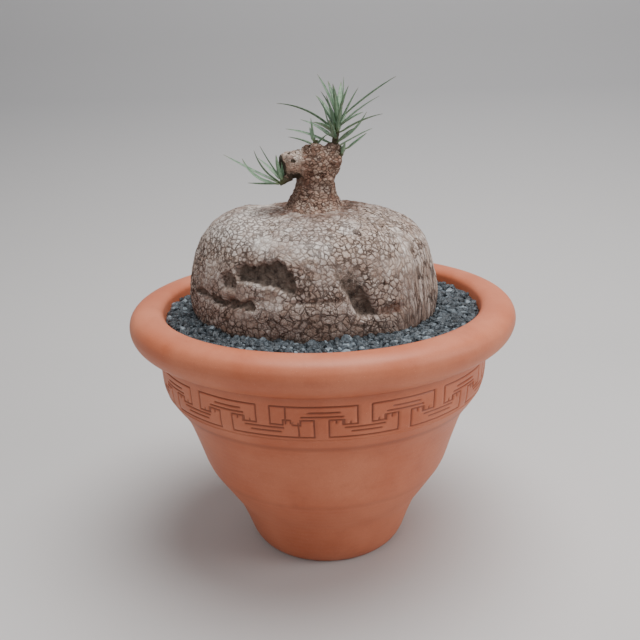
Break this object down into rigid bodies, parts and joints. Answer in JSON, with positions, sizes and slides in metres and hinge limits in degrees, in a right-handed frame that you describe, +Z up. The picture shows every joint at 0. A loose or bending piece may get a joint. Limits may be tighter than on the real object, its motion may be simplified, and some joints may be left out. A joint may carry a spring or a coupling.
{
  "type": "potted ipomoea",
  "caption": "Fat-bodied ipomoea with a squat cracked caudex, short woody stem and narrow grey-green leaves, topped with dark grit in a thick-rimmed terracotta pot with a key-pattern band.",
  "frame": {"origin": "centre of the pot's foot, on the ground", "axes": "+Z up along the pot's axis, -Y the front, +X the right side seen from the front"},
  "size_m": [0.3294, 0.3294, 0.4097],
  "materials": {
    "terracotta": "smooth unglazed fired clay with a slight sheen",
    "potting_mix": "dark crumbly gritty mix",
    "grit": "rough crushed blue-grey stone",
    "bark": "dry cream-grey bark cracked into plates",
    "stem_bark": "knobbly scaly brown and cream bark",
    "shoot": "young brown-green skin",
    "leaf": "matte grey-green, folded along the midrib"
  },
  "bodies": {
    "root": {"pot": "terracotta", "potting_mix": "potting_mix", "gravel": "grit", "caudex": "bark", "stem": "stem_bark", "shoot_crown": "shoot", "leaf_crown_01": "leaf", "leaf_crown_02": "leaf", "leaf_crown_03": "leaf", "leaf_crown_04": "leaf", "leaf_crown_05": "leaf", "leaf_crown_06": "leaf", "leaf_crown_07": "leaf", "leaf_crown_08": "leaf", "leaf_crown_09": "leaf", "leaf_crown_10": "leaf", "leaf_crown_11": "leaf", "leaf_crown_12": "leaf", "leaf_crown_13": "leaf", "leaf_crown_14": "leaf", "leaf_crown_15": "leaf", "leaf_crown_16": "leaf", "leaf_crown_17": "leaf", "leaf_crown_18": "leaf", "leaf_crown_19": "leaf", "leaf_crown_20": "leaf", "leaf_crown_21": "leaf", "leaf_crown_22": "leaf", "leaf_crown_23": "leaf", "leaf_crown_24": "leaf", "leaf_crown_25": "leaf", "leaf_crown_26": "leaf", "leaf_crown_27": "leaf", "leaf_crown_28": "leaf", "shoot_small": "shoot", "leaf_small_01": "leaf", "leaf_small_02": "leaf", "leaf_small_03": "leaf", "leaf_small_04": "leaf", "shoot_spur": "shoot", "leaf_spur_01": "leaf", "leaf_spur_02": "leaf", "leaf_spur_03": "leaf", "shoot_left": "shoot", "leaf_left_01": "leaf", "leaf_left_02": "leaf", "leaf_left_03": "leaf", "leaf_left_04": "leaf", "leaf_left_05": "leaf", "leaf_left_06": "leaf", "leaf_left_07": "leaf", "leaf_left_08": "leaf"}
  },
  "joints": []
}
